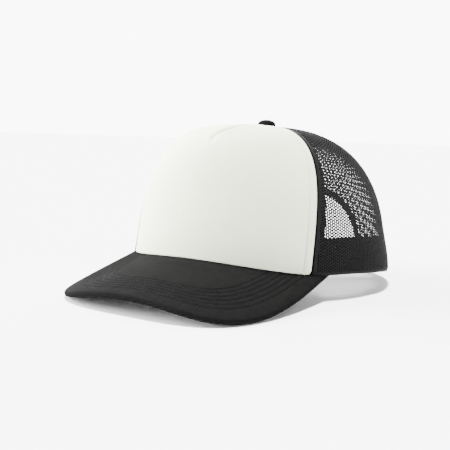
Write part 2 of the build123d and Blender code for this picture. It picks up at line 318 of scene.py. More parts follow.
def add_sheet(shape, outer, inner, fabric):
    """A closed sheet between two grids of points."""
    rows, columns = outer.shape[:2]
    count = rows * columns
    faces = grid_faces(rows, columns)
    faces += [face[::-1] for face in grid_faces(rows, columns, count)]
    ring = border(rows, columns)
    for here, following in zip(ring, ring[1:] + ring[:1]):
        faces.append((following, here, here + count, following + count))
    points = np.concatenate([outer.reshape(-1, 3), inner.reshape(-1, 3)])
    shape.add(points, faces, np.concatenate([fabric.reshape(-1, 2)] * 2))


def grid_normals(grid):
    across, upward = np.gradient(grid, axis=1), np.gradient(grid, axis=0)
    return unit(np.cross(across, upward))


def ring_faces(count, around):
    """Faces of a tube of rings, with a flat cap at each end."""
    faces = grid_faces(count, around, closed=True)
    faces.append(tuple(range(around))[::-1])
    faces.append(tuple((count - 1) * around + i for i in range(around)))
    return faces


def add_rings(shape, rings, fabric):
    shape.add(rings, ring_faces(*rings.shape[:2]), fabric)


def distance_along(points):
    steps = np.linalg.norm(np.diff(points, axis=0), axis=1)
    return np.concatenate([[0.0], np.cumsum(steps)])


def add_band(shape, path, across, outward, half_width, half_thickness, corners, roundness):
    """A strip with rounded edges along a path, given its sideways and outward directions."""
    turn = round_turn(corners)
    side = half_width * signed_power(np.cos(turn), roundness)
    lift = half_thickness * signed_power(np.sin(turn), roundness)
    rings = path[:, None] + across[:, None] * side[:, None] + outward[:, None] * lift[:, None]
    length = distance_along(path)
    fabric = np.stack(np.broadcast_arrays(side[None, :], length[:, None]), -1)
    add_rings(shape, rings, fabric)


def evenly(points, spacing):
    """Distances along a path, evenly spaced and centred on it."""
    length = distance_along(points)[-1]
    count = max(int(length / spacing), 1)
    return (np.arange(count) + 0.5) * length / count


def along_path(path, distances, values=None):
    """Points of a path, or values that go with them, at distances from its start."""
    values = path if values is None else values
    travelled = distance_along(path)
    return np.stack([np.interp(distances, travelled, values[:, axis]) for axis in range(3)], -1)


def add_stitches(shape, path, normals, spacing, length, radius):
    """A row of separate stitches, each rounded and diving into the cloth at its ends."""
    centres = evenly(path, spacing)
    middle = along_path(path, centres)
    outward = unit(along_path(path, centres, normals))
    forward = unit(along_path(path, centres + 0.4) - along_path(path, centres - 0.4))
    side = unit(np.cross(outward, forward))
    stations, corners = 5, 6
    share = np.linspace(-0.94, 0.94, stations)
    turn = round_turn(corners)
    thick = radius * np.sqrt(1 - share**4)
    sink = -0.55 * radius * share**2
    rings = (middle[:, None, None] + forward[:, None, None] * (share * length / 2)[:, None, None]
             + outward[:, None, None] * (sink[:, None] + thick[:, None] * np.sin(turn))[..., None]
             + side[:, None, None] * (thick[:, None] * np.cos(turn))[..., None])
    faces = ring_faces(stations, corners)
    for number, stitch in enumerate(rings):
        fabric = np.stack(np.broadcast_arrays(turn[None, :], number + share[:, None]), -1)
        shape.add(stitch, faces, fabric)


# ---------------------------------------------------------------- materials


cloth_relief = 0.00012  # metres


def shader(name, roughness, sheen=0.0, metallic=0.0, specular=0.3):
    """A material, its node tree and its main shader."""
    material = bpy.data.materials.new(name)
    material.use_nodes = True
    tree = material.node_tree
    main = tree.nodes["Principled BSDF"]
    main.inputs["Roughness"].default_value = roughness
    main.inputs["Metallic"].default_value = metallic
    main.inputs["Specular IOR Level"].default_value = specular
    if sheen:
        main.inputs["Sheen Weight"].default_value = sheen
        main.inputs["Sheen Roughness"].default_value = 0.6
    return material, tree, main


def node(tree, kind, inputs=None, **settings):
    """A shader node. Each of its inputs is given as a value or as a socket to link."""
    made = tree.nodes.new("ShaderNode" + kind)
    for key, value in settings.items():
        setattr(made, key, value)
    for key, value in (inputs or {}).items():
        if isinstance(value, bpy.types.NodeSocket):
            tree.links.new(value, made.inputs[key])
        else:
            made.inputs[key].default_value = value
    return made


def maths(tree, operation, *values):
    return node(tree, "Math", dict(enumerate(values)), operation=operation).outputs[0]


def ramp(tree, factor, low, high):
    """Blends from one colour to another by a factor."""
    made = node(tree, "ValToRGB", {"Fac": factor})
    for element, place, colour in zip(made.color_ramp.elements, (0.25, 0.75), (low, high)):
        element.position = place
        element.color = (*colour, 1)
    return made.outputs["Color"]


def two_tones(tree, main, factor, dark, light):
    tree.links.new(ramp(tree, factor, dark, light), main.inputs["Base Color"])


def bump(tree, main, height, strength, distance):
    """Adds one layer of relief to the main shader, over any layer that is there."""
    made = node(tree, "Bump", {"Strength": strength, "Distance": distance, "Height": height})
    below = main.inputs["Normal"].links
    if below:
        tree.links.new(below[0].from_socket, made.inputs["Normal"])
    tree.links.new(made.outputs["Normal"], main.inputs["Normal"])


def noise(tree, scale, detail):
    place = node(tree, "TexCoord").outputs["Object"]
    return node(tree, "TexNoise", {"Vector": place, "Scale": scale, "Detail": detail}).outputs["Fac"]


def weave(tree, threads, twill):
    """A woven height field from the fabric coordinates, with threads per millimetre."""
    place = node(tree, "UVMap", uv_map="fabric").outputs["UV"]
    parts = node(tree, "SeparateXYZ", {"Vector": place}).outputs
    waves = []
    for axis, other in (("X", "Y"), ("Y", "X")):
        slanted = maths(tree, "MULTIPLY", parts[other], twill)
        placed = maths(tree, "ADD", parts[axis], slanted)
        waves.append(maths(tree, "SINE", maths(tree, "MULTIPLY", placed, threads * tau)))
    return maths(tree, "MULTIPLY_ADD", maths(tree, "MULTIPLY", *waves), 0.5, 0.5)


def cloth(name, dark, light, threads, twill=0.0, relief=0.6, roughness=0.9, sheen=0.02,
          specular=0.02):
    """Woven cloth: thread relief, fine fuzz and soft unevenness of colour."""
    material, tree, main = shader(name, roughness, sheen, specular=specular)
    two_tones(tree, main, noise(tree, 260.0, 5.0), dark, light)
    bump(tree, main, noise(tree, 1400.0, 2.0), 0.25, cloth_relief)
    bump(tree, main, weave(tree, threads, twill), relief, cloth_relief)
    return material


def plain(name, dark, light, scale, roughness, relief=0.2, distance=0.0001, metallic=0.0,
          specular=0.15):
    """Foam, thread, plastic or metal: two close tones and a fine relief."""
    material, tree, main = shader(name, roughness, 0.0, metallic, specular)
    grain = noise(tree, scale, 4.0)
    two_tones(tree, main, grain, dark, light)
    bump(tree, main, grain, relief, distance)
    return material


def grey(value, warmth=0.0):
    """A near-neutral colour."""
    return (value * (1 + warmth), value, value * (1 - warmth))


def make_materials():
    return {
        "front": cloth("white_knit", (0.76, 0.795, 0.60), (0.80, 0.835, 0.64), 2.2, relief=0.08,
                       sheen=0.10, specular=0.2),
        "foam": plain("foam", grey(0.66, 0.04), grey(0.78, 0.04), 900.0, 0.95, 0.8, 0.0004),
        "mesh": plain("knitted_nylon", grey(0.0062), grey(0.0102), 1500.0, 0.6, 0.5, specular=0.04),
        "cover": cloth("visor_twill", grey(0.0040), grey(0.0058), 1.6, 0.5, 0.5, sheen=0.0, specular=0.01),
        "tape": cloth("woven_tape", grey(0.0040), grey(0.0065), 1.8, 0.0, 0.7),
        "sweatband": cloth("brushed_twill", grey(0.0026), grey(0.0040), 1.3, 1.0, 0.8),
        "button": cloth("button_twill", grey(0.0045), grey(0.0065), 1.8, 0.5, sheen=0.0, specular=0.01),
        "label": cloth("label_satin", grey(0.62, 0.01), grey(0.70, 0.01), 3.0, 0.0, 0.3, 0.5),
        "black": plain("black_thread", grey(0.0028), grey(0.0048), 2500.0, 0.7, 0.5, specular=0.04),
        # The topstitch thread is a grey darker than the panel's cloth: partly the thread's own tone,
        # partly painted shade of its stitch holes and the seam's groove.
        "white": plain("white_thread", grey(0.50), grey(0.60), 2500.0, 0.6, 0.5),
        "board": plain("visor_board", grey(0.58, 0.03), grey(0.68, 0.03), 400.0, 0.7),
        "plastic": plain("strap_plastic", grey(0.0090), grey(0.0120), 1800.0, 0.4, 0.18, 0.00006,
                         specular=0.35),
        "metal": plain("rivet_metal", grey(0.50), grey(0.66), 700.0, 0.32, 0.1, metallic=1.0),
    }


# ---------------------------------------------------------------- front panel

edge_roll, hem_roll, foam_roll = 2.2, 1.0, 2.1
topstitch_inset, topstitch_depth = 5.8, 0.50
corner_radius = 3.0
face_cloth = 0.5
foam_inset = 0.8
face_spacing, foam_spacing = 0.78, 2.2
hem_sample_angle = 20.0  # the rows of the panel are spaced out on this meridian
fine_steps = [0.0, 0.12, 0.35, 0.7, 1.1, 1.6, 2.2, 3.0]  # distances in from an edge
seam_steps = [3.8, 4.4, 4.9, 5.2, 5.5, 5.8, 6.1, 6.4, 6.7, 7.1, 7.6, 8.3, 9.2, 10.5, 12.0]

panel_rise = 125.0
padding_height, padding_side_reach, padding_hem_reach = 0.45, 16, 14
seam_fade, rib_fade = 0.05, 1.5
seam_groove_depth, seam_groove_width = 0.80, 0.62
seam_ridge_height, seam_ridge_inset, seam_ridge_width = 0.16, 3.6, 1.3
rib_depth, rib_pitch = 0.16, 3.1
dart_tip_climb, dart_end_climb = 0.51, 0.955
dart_start, dart_bend = 2.2, 5.0  # where its crease starts, and how much further left it bends
dart_depth, dart_width = 1.8, 1.1
dart_shoulder_height, dart_shoulder_inset, dart_shoulder_width = 0.6, 4.5, 3.2


def rolled(distance, radius):
    """Depth of a rounded edge at a distance in from it."""
    left = radius - np.minimum(np.maximum(distance, 0.0), radius)
    return radius - np.sqrt(np.maximum(radius**2 - left**2, 0.0))


def hill(distance, width):
    return np.exp(-((distance / width) ** 2))


def climbs_by_length(theta, low, spacing):
    """Climbs up the front panel and their distances from its bottom: fine steps, then even ones."""
    steps = np.linspace(low, top_climb, 500)
    travelled = distance_along(crown_surface(theta, steps))
    start, end = fine_steps[-1], travelled[-1]
    count = int((end - start) / spacing)
    length = np.concatenate([fine_steps, np.linspace(start, end, count + 1)[1:]])
    return np.interp(length, travelled, steps), length


def front_grid(inset, spacing):
    """Angles, climbs and distances from the side and bottom edges of the front panel."""
    sample = radians(hem_sample_angle)
    climbs, height = climbs_by_length(sample, float(hem(sample)), spacing)
    share = ((climbs - hem(sample)) / (top_climb - hem(sample)))[:, None]
    edge = np.array(fine_steps + seam_steps)
    half_angle = radians(front_seam) - front_seam_gap / rim_half_width
    middle = int(2 * (half_angle * rim_half_width - edge[-1]) / spacing)
    height = height[:, None]
    corner = corner_radius - np.sqrt(np.maximum(
        corner_radius**2 - np.maximum(corner_radius - height, 0.0) ** 2, 0.0))
    reference = hem(half_angle) + (top_climb - hem(half_angle)) * share
    scale = millimetres_per_radian(half_angle, reference)
    limit = half_angle - (inset + corner) / scale
    squeeze = np.minimum(1.0, 0.8 * limit * scale / edge[-1])
    offsets = edge[None, :] * squeeze
    right = limit - offsets / scale
    inner = right[:, -1:] * np.linspace(-1, 1, middle + 2)[1:-1][None, :]
    theta = np.concatenate([-right, inner, right[:, ::-1]], axis=1)
    climb = hem(theta) + (top_climb - hem(theta)) * share
    scale = millimetres_per_radian(theta, climb)
    to_side = (limit - np.abs(theta)) * scale
    return theta, climb, to_side, np.broadcast_to(height, theta.shape), scale


def front_depth(theta, climb, to_side, height, scale):
    """Relief of the front panel: rolled edges, padding, topstitched seam and the dart."""
    padding = padding_height * smooth((to_side - topstitch_inset) / padding_side_reach)
    padding = padding * smooth(height / padding_hem_reach)
    depth = np.minimum(rolled(to_side, edge_roll) + rolled(height, hem_roll), edge_roll) - padding
    fade = smooth((seam_top_climb - climb) / seam_fade)
    depth += seam_groove_depth * hill(to_side - topstitch_inset, seam_groove_width) * fade
    depth -= seam_ridge_height * hill(to_side - seam_ridge_inset, seam_ridge_width) * fade
    ribbed = smooth((topstitch_inset - to_side) / rib_fade) * smooth(to_side / rib_fade) * fade
    depth += rib_depth * (0.5 + 0.5 * np.cos(height * tau / rib_pitch)) * ribbed
    bend = smooth((climb - dart_tip_climb) / 0.09) * smooth((0.93 - climb) / 0.25)
    across = theta * scale - dart_start - dart_bend * bend
    along = (climb - dart_tip_climb) / 0.05
    opened = smooth(along) * smooth((dart_end_climb - climb) / 0.03)
    shoulders = dart_shoulder_height * hill(np.abs(across) - dart_shoulder_inset, dart_shoulder_width)
    depth += opened * (dart_depth * hill(across, dart_width) - shoulders)
    tip = hill(along + 0.15, 0.42)
    depth += 1.0 * tip * hill(across - 0.4, 1.9) - 0.40 * hill(along + 0.9, 0.6) * hill(across, 5.0)
    depth += 0.05 * np.sin(theta * 9.0 + 1.3) * np.sin(climb * 11.0 + 0.4)  # slight unevenness
    return depth


def fabric_of(theta, climb):
    """Millimetres round and up the crown, for the weave."""
    return np.stack([theta * rim_half_width, climb * panel_rise], -1)


def make_front_panel(materials):
    theta, climb, to_side, height, scale = front_grid(0.0, face_spacing)
    outer = crown_point(theta, climb, front_depth(theta, climb, to_side, height, scale))
    inner = outer - grid_normals(outer) * face_cloth
    face = Shape()
    add_sheet(face, outer, inner, fabric_of(theta, climb))
    face = face.piece("front_panel_fabric", materials["front"], "front_fabric", ["front_panel_face"])


def make_front_foam(materials):
    theta, climb, to_side, height, _ = front_grid(foam_inset, foam_spacing)
    bulge = np.minimum(rolled(to_side, foam_roll) + rolled(height, foam_roll), foam_roll)
    outer = crown_point(theta, climb, foam_outside + 0.05 + bulge * 0.98)
    quilt = 0.12 * np.sin(theta * 60.0) * np.sin(climb * 70.0)
    inner = crown_point(theta, climb, lining_depth - 0.12 + 0.3 * quilt)
    foam = Shape()
    add_sheet(foam, outer, inner, fabric_of(theta, climb))
    foam = foam.piece("foam_backing", materials["foam"], "foam", ["front_panel_foam"])


def make_front_topstitching(materials):
    climbs = np.linspace(climb_at(radians(front_seam), 3.0), seam_top_climb, 160)
    edge = radians(front_seam) - front_seam_gap / rim_half_width
    thread = Shape()
    for side in (1, -1):
        angle = side * (edge - topstitch_inset / millimetres_per_radian(edge, climbs))
        row = crown_point(angle, climbs, topstitch_depth)
        add_stitches(thread, row, crown_normal(angle, climbs), spacing=3.1, length=2.6, radius=0.26)
    # The thread's darker grey is partly painted shade of the groove it lies in.
    thread.piece("front_topstitches", materials["white"], "white_thread", ["front_topstitching"])


# ---------------------------------------------------------------- knitted mesh

hole_pitch, column_pitch = 1.88, 1.64
hole_half_width, hole_half_height = 0.32, 0.48
rear_knit_turn, rear_hole_growth = 37.0, 1.28
mesh_depths = (0.05, 0.32, 0.60)  # crest, hole's waist, back
mesh_edge_depth = 0.36
fold_half_width, fold_half_thickness = 1.05, 0.44  # at the seams
rim_fold_half_width, rim_fold_half_thickness = 1.0, 0.48
seam_margin, hem_margin, top_margin = 0.95, 1.3, 1.0  # whole cells stop this far short of these
arch_foot = 55.5  # the rear hem's fold ends this far from the centre back


def cell_outline(growth):
    """Twelve points round one hexagon of the knit and round its hole, in millimetres."""
    slant = hole_pitch**2 / (8 * column_pitch)
    near, far, top = column_pitch / 2 - slant, column_pitch / 2 + slant, hole_pitch / 2
    corners = np.array([(far, 0), (near, top), (-near, top), (-far, 0), (-near, -top), (near, -top)])
    between = (corners + np.roll(corners, -1, axis=0)) / 2
    outline = np.stack([corners, between], axis=1).reshape(12, 2)
    turn = np.arctan2(outline[:, 1] / hole_half_height, outline[:, 0] / hole_half_width)
    hole = np.stack([hole_half_width * np.cos(turn), hole_half_height * np.sin(turn)], -1)
    return outline, hole * growth


def knit(shape, start, end, turn, growth, kept=None):
    """Fills a panel between two angles with the knit, turned by degrees, a ring of faces a hole."""
    centre = (start + end) / 2
    climbs = np.linspace(0.0, top_climb, 500)
    travelled = distance_along(crown_surface(centre, climbs))
    widths = millimetres_per_radian(centre, climbs)
    reach = int(travelled[-1] / hole_pitch) + 2
    column, row = np.meshgrid(np.arange(-reach, reach), np.arange(-reach, reach), indexing="ij")
    middle = np.stack([column * column_pitch, (row + 0.5 * (column % 2)) * hole_pitch], -1)
    swing = np.array([[cos(radians(turn)), sin(radians(turn))],
                      [-sin(radians(turn)), cos(radians(turn))]])
    middle = middle.reshape(-1, 2) @ swing
    low, high = min(start, end), max(start, end)

    def place(flat):
        """Angle and climb of a point of the flat cloth."""
        angle = centre + flat[..., 0] / np.interp(flat[..., 1], travelled, widths)
        return angle, np.interp(flat[..., 1], travelled, climbs)

    height = middle[:, 1]
    angle, climb = place(middle)
    margin = seam_margin / np.interp(height, travelled, widths)
    inside = (angle > low + margin) & (angle < high - margin)
    inside &= (climb > hem(angle) + climb_at(angle, hem_margin)) & (height < travelled[-1] - top_margin)
    inside &= height > 0.0
    if kept is not None:
        inside &= kept(crown_surface(angle, climb))
    middle = middle[inside]
    outline, hole = (points @ swing for points in cell_outline(growth))
    edges = (middle[:, None] + outline).reshape(-1, 2)  # neighbours share these points
    _, first, number = np.unique(np.round(edges * 200).astype(int), axis=0, return_index=True,
                                    return_inverse=True)
    number = number.reshape(-1, 12)
    edge_angle, edge_climb = place(edges[first])
    hole_angle, hole_climb = place((middle[:, None] + hole).reshape(-1, 2))
    crest, waist, back = mesh_depths
    layers = [crown_point(edge_angle, edge_climb, crest), crown_point(hole_angle, hole_climb, waist),
              crown_point(edge_angle, edge_climb, back)]
    starts = np.cumsum([0] + [len(layer) for layer in layers])
    ring = np.arange(len(middle) * 12).reshape(-1, 12)
    rings = [number + starts[0], ring + starts[1], number + starts[2]]
    faces = []
    for upper, lower in zip(rings, rings[1:]):
        quads = np.stack([upper, np.roll(upper, -1, 1), np.roll(lower, -1, 1), lower], -1)
        faces += quads.reshape(-1, 4).tolist()
    sides = np.stack([number, np.roll(number, -1, 1)], -1).reshape(-1, 2)
    ordered = np.sort(sides, axis=1)
    _, which, used = np.unique(ordered, axis=0, return_inverse=True, return_counts=True)
    for here, following in sides[used[which.reshape(-1)] == 1]:
        faces.append((following, here, here + starts[2], following + starts[2]))
    points = np.concatenate(layers)
    shape.add(points, faces, points[:, [0, 2]])


def line_frame(angles, climbs):
    """Sideways directions and normals along a line up the crown."""
    along, upward = crown_slopes(angles, climbs)
    normal = unit(np.cross(along, upward))
    return unit(np.cross(unit(upward), normal)), normal


def add_seam_fold(shape, theta, low, high, inward):
    """The turned edge of a mesh panel where it meets a seam."""
    climbs = np.linspace(low, high, 90)
    across, normal = line_frame(theta, climbs)
    path = crown_point(theta, climbs, mesh_edge_depth) + across * inward * fold_half_width
    add_band(shape, path, across, normal, fold_half_width, fold_half_thickness, corners=12,
             roundness=0.7)


def add_rim_fold(shape, start, end):
    """The narrow turned hem along the bottom edge of a mesh panel."""
    angles = np.linspace(start, end, 90)
    climbs = hem(angles) + climb_at(angles, rim_fold_half_width)
    normal = crown_normal(angles, climbs)
    path = crown_point(angles, climbs, mesh_edge_depth)
    forward = unit(np.gradient(path, axis=0))
    across = unit(np.cross(forward, normal))
    add_band(shape, path, across, normal, rim_fold_half_width, rim_fold_half_thickness, corners=12,
             roundness=0.7)


def outside_arch(points):
    across, up = np.abs(points[:, 0]) / arch_half_width, points[:, 2] / arch_height
    return across**arch_power + np.maximum(up, 0.0) ** arch_power > 1.0


def make_mesh_panels(materials):
    gap = mesh_seam_gap / rim_half_width
    for side, word in ((1, "left"), (-1, "right")):
        seams = [radians(front_seam) + gap, radians(rear_seam) - gap,
                 radians(rear_seam) + gap, pi - gap]
        rows = (("side", seams[0], seams[1], 0.0, 1.0, None),
                ("rear", seams[2], seams[3], rear_knit_turn * side, rear_hole_growth, outside_arch))
        for name, start, end, turn, growth, kept in rows:
            panel = Shape()
            knit(panel, side * start, side * end, turn, growth, kept)
            add_seam_fold(panel, side * start, float(hem(start)), top_climb, side)
            low = float(climb_at(pi, arch_height)) if name == "rear" else float(hem(end))
            add_seam_fold(panel, side * end, low, top_climb, -side)
            foot = pi - arch_foot / rim_half_width if name == "rear" else end
            add_rim_fold(panel, side * start, side * foot)
            made = panel.piece(f"{name}_knit_{word}", materials["mesh"], "mesh",
                               [f"{name}_mesh_{word}"])


# ---------------------------------------------------------------- tapes, binding and sweatband


tape_stitch_inset = 1.2


def make_tape(materials, node_name, seam, before, after, low, high, depth):
    """A woven tape over a seam, with a row of stitches near each edge.

    It reaches before and after the seam by its two widths."""
    climbs = np.linspace(low, high, 90)
    angles = seam + (after - before) / 2 / millimetres_per_radian(seam, climbs)
    across, normal = line_frame(angles, climbs)
    path = crown_point(angles, climbs, depth + tape_thickness / 2)
    half = (before + after) / 2
    tape = Shape()
    add_band(tape, path, across, normal, half, tape_thickness / 2, corners=14, roundness=0.35)
    tape = tape.piece(node_name + "_cloth", materials["tape"], "tape_fabric", [node_name])
    thread = Shape()
    for offset in (-half + tape_stitch_inset, half - tape_stitch_inset):
        for outward in (1, -1):
            row = path + across * offset + normal * outward * (tape_thickness / 2)
            add_stitches(thread, row, normal * outward, spacing=3.0, length=2.3, radius=0.2)
    thread.piece(node_name + "_stitches", materials["black"], "black_thread")


def make_tapes(materials):
    front, rear = radians(front_seam), radians(rear_seam)
    front_low, rear_low = float(climb_at(front, 1.5)), float(climb_at(rear, 1.0))
    back_low = float(climb_at(pi, arch_height + 3.6))
    before, after, half = front_tape_before, front_tape_after, tape_half_width
    rows = (("front_seam_tape_left", front, before, after, front_low, lining_depth),
            ("front_seam_tape_right", -front, after, before, front_low, lining_depth),
            ("side_seam_tape_left", rear, half, half, rear_low, mesh_tape_depth),
            ("side_seam_tape_right", -rear, half, half, rear_low, mesh_tape_depth),
            ("back_seam_tape", pi, half, half, back_low, mesh_tape_depth))
    for name, seam, before, after, low, depth in rows:
        make_tape(materials, name, seam, before, after, low, seam_top_climb, depth)
    make_tape(materials, "front_dart_tape", 0.0, dart_tape_half_width, dart_tape_half_width,
              dart_low_climb, dart_high_climb, lining_depth)


def surface_angle(x, height):
    """Angle and climb of a point of the crown's back, from its sideways place and height."""
    theta = pi - x / rim_half_width
    for _ in range(20):
        climb = climb_at(theta, np.maximum(height - rim_height(theta), 0.0))
        along, _ = crown_slopes(theta, climb)
        theta = theta + np.clip((x - crown_surface(theta, climb)[..., 0]) / along[..., 0], -0.2, 0.2)
    return theta, climb_at(theta, np.maximum(height - rim_height(theta), 0.0))


def arch_path(half_width, height, depth):
    """A line along the rear opening's edge, with its sideways directions and normals."""
    turn = np.linspace(0.0, pi, 160)
    across, up = np.cos(turn), np.maximum(np.sin(turn), 0.0)
    across = half_width * signed_power(across, 2 / arch_power)
    up = np.maximum(height * up ** (2 / arch_power), 0.7)
    theta, climb = surface_angle(across, up)
    normal = crown_normal(theta, climb)
    path = crown_point(theta, climb, depth)
    forward = unit(np.gradient(path, axis=0))
    return path, unit(np.cross(forward, normal)), normal


binding_depth, binding_half_thickness = 0.45, 1.0  # depth of its middle
binding_stitch_offset, binding_stitch_lift = 1.1, 0.95


def make_arch_binding(materials):
    path, across, normal = arch_path(arch_half_width, arch_height, binding_depth)
    binding = Shape()
    add_band(binding, path, across, normal, binding_width / 2, binding_half_thickness,
             corners=18, roundness=0.5)
    binding = binding.piece("arch_binding_cloth", materials["tape"], "tape_fabric",
                            ["rear_arch_binding"])
    thread = Shape()
    for offset in (-binding_stitch_offset, binding_stitch_offset):
        for outward in (1, -1):
            row = path + across * offset + normal * outward * binding_stitch_lift
            add_stitches(thread, row, normal * outward, spacing=2.9, length=2.3, radius=0.24)
    thread.piece("arch_stitches", materials["black"], "black_thread")


sweatband_front_depth, sweatband_side_depth = 3.6, 1.7  # of its outside
sweatband_ease_start, sweatband_ease_span = 6.0, 14.0  # degrees behind the front seam
sweatband_low, sweatband_half_thickness = 1.0, 0.5
sweatband_puff, sweatband_waves = 0.75, 0.16  # how far its inside swells and ripples
pinch_depth, pinch_height, pinch_width = 0.30, 3.2, 0.9  # where the stitching draws it in
sweatband_rows = ((4.2, 1.05), (6.4, 1.1))  # height of each row, and depth under the outside


def sweatband_depth(theta):
    """Outside depth: deeper behind the padded front panel than behind the mesh."""
    behind = np.abs(np.degrees(theta)) - front_seam
    ease = smooth((behind - sweatband_ease_start) / sweatband_ease_span)
    return sweatband_front_depth + (sweatband_side_depth - sweatband_front_depth) * ease


def make_sweatband(materials):
    count, corners = 340, 36
    theta = np.radians(np.linspace(-sweatband_end, sweatband_end, count))[:, None]
    turn = round_turn(corners)[None, :]
    half_height = (sweatband_height - sweatband_low) / 2
    level = half_height * signed_power(np.cos(turn), 0.6)
    lift = sweatband_half_thickness * signed_power(np.sin(turn), 0.45)
    puff = sweatband_puff * (1 - (level / half_height) ** 2) * (lift < 0)
    waves = sweatband_waves * np.sin(theta * 37.0 + 0.5 * np.sin(theta * 11.0)) * np.cos(level / 5.0)
    pinch = pinch_depth * hill(level + half_height - pinch_height, pinch_width) * (lift < 0)
    depth = sweatband_depth(theta) + sweatband_half_thickness - lift + puff
    depth = depth + waves * (lift < 0) - pinch
    angles = np.broadcast_to(theta, depth.shape)
    height = level + half_height + sweatband_low
    rings = crown_point(angles, climb_at(angles, np.broadcast_to(height, depth.shape)), depth)
    fabric = np.stack(np.broadcast_arrays(angles * rim_half_width, level), -1)
    band = Shape()
    add_rings(band, rings, fabric)
    band = band.piece("sweatband_cloth", materials["sweatband"], "sweatband_fabric", ["sweatband"])
    thread = Shape()
    angles = np.radians(np.linspace(-sweatband_end + 0.6, sweatband_end - 0.6, 400))
    for height, depth in sweatband_rows:
        climbs = climb_at(angles, height)
        row = crown_point(angles, climbs, sweatband_depth(angles) + depth)
        add_stitches(thread, row, -crown_normal(angles, climbs), spacing=3.2, length=2.6, radius=0.3)
    thread.piece("sweatband_stitches", materials["black"], "black_thread")


label_half_thickness, label_fold = 0.22, 3.5


def make_label(materials):
    """A blank woven label with folded ends, sewn at both ends."""
    count, corners = 60, 20
    theta = np.linspace(-label_half_width, label_half_width, count)[:, None] / rim_half_width
    turn = round_turn(corners)[None, :]
    half = (label_high - label_low) / 2
    level = half * signed_power(np.cos(turn), 0.3)
    lift = label_half_thickness * signed_power(np.sin(turn), 0.5)
    fold = 0.12 * (np.abs(theta) * rim_half_width > label_half_width - label_fold)
    depth = lining_depth + 0.3 - lift * (1 + fold * 3) - 0.1 * np.cos(theta * 25)
    angles = np.broadcast_to(theta, depth.shape)
    height = np.broadcast_to(level + label_low + half, depth.shape)
    rings = crown_point(angles, climb_at(angles, height), depth)
    label = Shape()
    add_rings(label, rings, np.stack([angles * rim_half_width, height], -1))
    label = label.piece("blank_label", materials["label"], "label_fabric", ["inner_label"])
    thread = Shape()
    heights = np.linspace(label_low + 1, label_high - 1, 30)
    for side in (1, -1):
        angle = side * (label_half_width - 1.6) / rim_half_width
        climbs = climb_at(angle, heights)
        row = crown_point(angle, climbs, lining_depth + 0.62)
        add_stitches(thread, row, -crown_normal(angle, climbs), spacing=2.6, length=2.0, radius=0.2)
    thread.piece("label_stitches", materials["black"], "black_thread")


# ---------------------------------------------------------------- visor

cover_cloth = 0.45
# for each cover: 1 facing up or -1 facing down, share of the relief, depth where it lies, and
# width and depth of its rolled edge. The under cover is 0.5 mm lower than in the CAD model.
visor_covers = {"visor_top_cover": (1, 1.0, 0.0, 1.6, 2.2),
                "visor_under_cover": (-1, 0.6, visor_thickness + 0.5, 1.2, 1.4)}
board_inset, board_depth, board_thickness = 1.4, 0.85, 1.8
groove_depth, groove_width = 0.5, 0.62
hollow_depth = 0.10  # the rows of stitching pull the covers down together
pillow = 0.22
thread_lift = 0.10
shortest_column = 0.8  # at the ends of the visor, where it meets the crown
row_squeeze = 0.006  # keeps the rows of a short column apart


def visor_columns(spacing):
    """Angles along the visor's outline, evenly spaced by length."""
    share = np.linspace(-1, 1, 6001)
    psi = signed_power(share, 1.6) * pi / 2
    x, y = visor_outline(psi, 0.0)
    travelled = distance_along(np.stack([x, y, np.zeros_like(x)], -1))
    count = int(travelled[-1] / spacing)
    return np.interp(np.linspace(0, travelled[-1], count), travelled, psi)


def inset_to_crown(psi, tuck):
    """How far in from the edge each column of the visor reaches the crown."""
    low, high = np.zeros_like(psi), np.full_like(psi, visor_half_width - 1.0)
    for _ in range(40):
        middle = (low + high) / 2
        x, y = visor_outline(psi, middle)
        outside = (x / (rim_half_width - tuck)) ** 2 + (y / (rim_half_length - tuck)) ** 2 > 1
        low, high = np.where(outside, middle, low), np.where(outside, high, middle)
    return low


def visor_relief(inset):
    """Height of the padded cover over its plain surface, with a groove at each row."""
    first, last = first_row_inset, first_row_inset + (row_count - 1) * row_pitch
    relief = pillow * smooth((inset - 0.8) / 4)
    for row in range(row_count):
        relief -= groove_depth * hill(inset - first_row_inset - row * row_pitch, groove_width)
    relief -= hollow_depth * hill(inset - (first + last) / 2, (last - first) / 2)
    return relief


def make_visor_covers(materials):
    psi = visor_columns(1.05)
    insets = np.concatenate([[0.0, 0.06, 0.2, 0.45, 0.8, 1.2, 1.6], np.linspace(2.4, 7.6, 7),
                             np.linspace(8.0, 30.0, 67), np.linspace(31.0, 73.0, 36)])
    limit = np.maximum(inset_to_crown(psi, visor_tuck), shortest_column)
    spare = np.arange(len(insets))[::-1] * row_squeeze
    inset = np.minimum(insets[:, None], limit[None, :] - spare[:, None])
    x, y = visor_outline(psi[None, :], inset)
    relief = visor_relief(inset)
    surface, normal = visor_surface(x, y)
    fabric = np.stack([x, y], -1)
    for name, (sign, share, start, roll_width, roll_depth) in visor_covers.items():
        edge = rolled(inset, roll_width) * roll_depth / roll_width
        outer = surface + normal * (sign * (relief * share - edge) - start)[..., None]
        inner = outer - normal * (sign * cover_cloth)
        inner[0] = inner[0] + unit(inner[8] - inner[0]) * cover_cloth
        if sign < 0:
            outer, inner = outer[:, ::-1], inner[:, ::-1]
        cover = Shape()
        add_sheet(cover, outer, inner, fabric)
        cover = cover.piece(name + "_cloth", materials["cover"], "cover_fabric", [name])


def make_visor_board(materials):
    psi = visor_columns(2.4)
    psi = psi[inset_to_crown(psi, visor_tuck) > 2.5]
    limit = inset_to_crown(psi, visor_tuck - 0.3)
    inset = board_inset + (limit - board_inset) * np.linspace(0, 1, 48)[:, None]
    x, y = visor_outline(psi[None, :], inset)
    surface, normal = visor_surface(x, y)
    top = surface - normal * board_depth
    board = Shape()
    add_sheet(board, top, top - normal * board_thickness, np.stack([x, y], -1))
    board.piece("visor_board_form", materials["board"], "visor_board", ["visor_board"])


